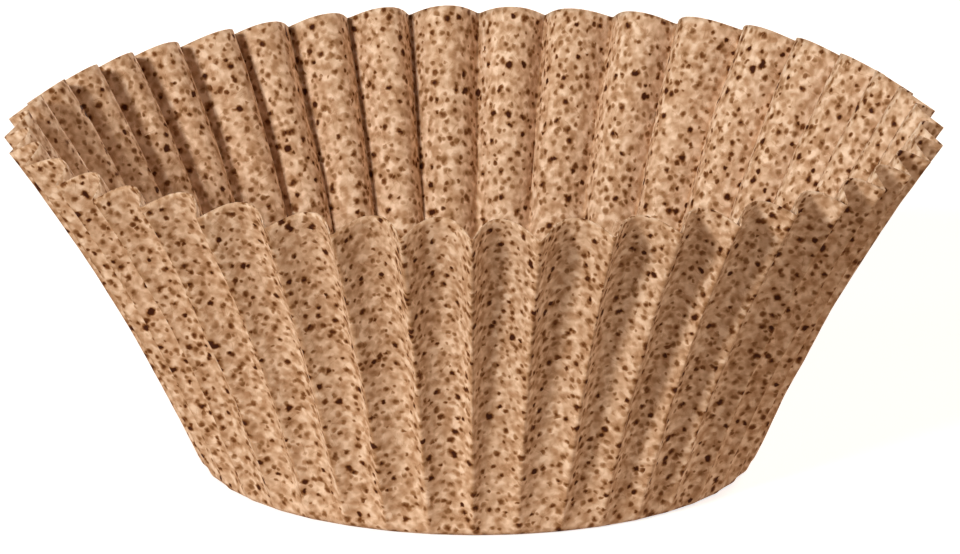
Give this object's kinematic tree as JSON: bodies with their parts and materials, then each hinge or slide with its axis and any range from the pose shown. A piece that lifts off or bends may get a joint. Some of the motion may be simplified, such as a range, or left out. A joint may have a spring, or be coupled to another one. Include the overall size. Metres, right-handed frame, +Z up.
{
  "type": "paper baking cup",
  "caption": "Round paper baking cup with a flat base and a fluted, flaring wall, open at the top, that holds batter in a muffin pan.",
  "frame": {"origin": "centre of the flat base's underside", "axes": "+Z up along the cup's axis, out of its open mouth; +X within 8 degrees of the line across which the slightly oval mouth is widest"},
  "size_m": [0.0859, 0.0803, 0.0332],
  "materials": {
    "paper": "matte unbleached kraft paper, tan with fine dark brown flecks"
  },
  "bodies": {
    "root": {"baking_cup": "paper"}
  },
  "joints": []
}
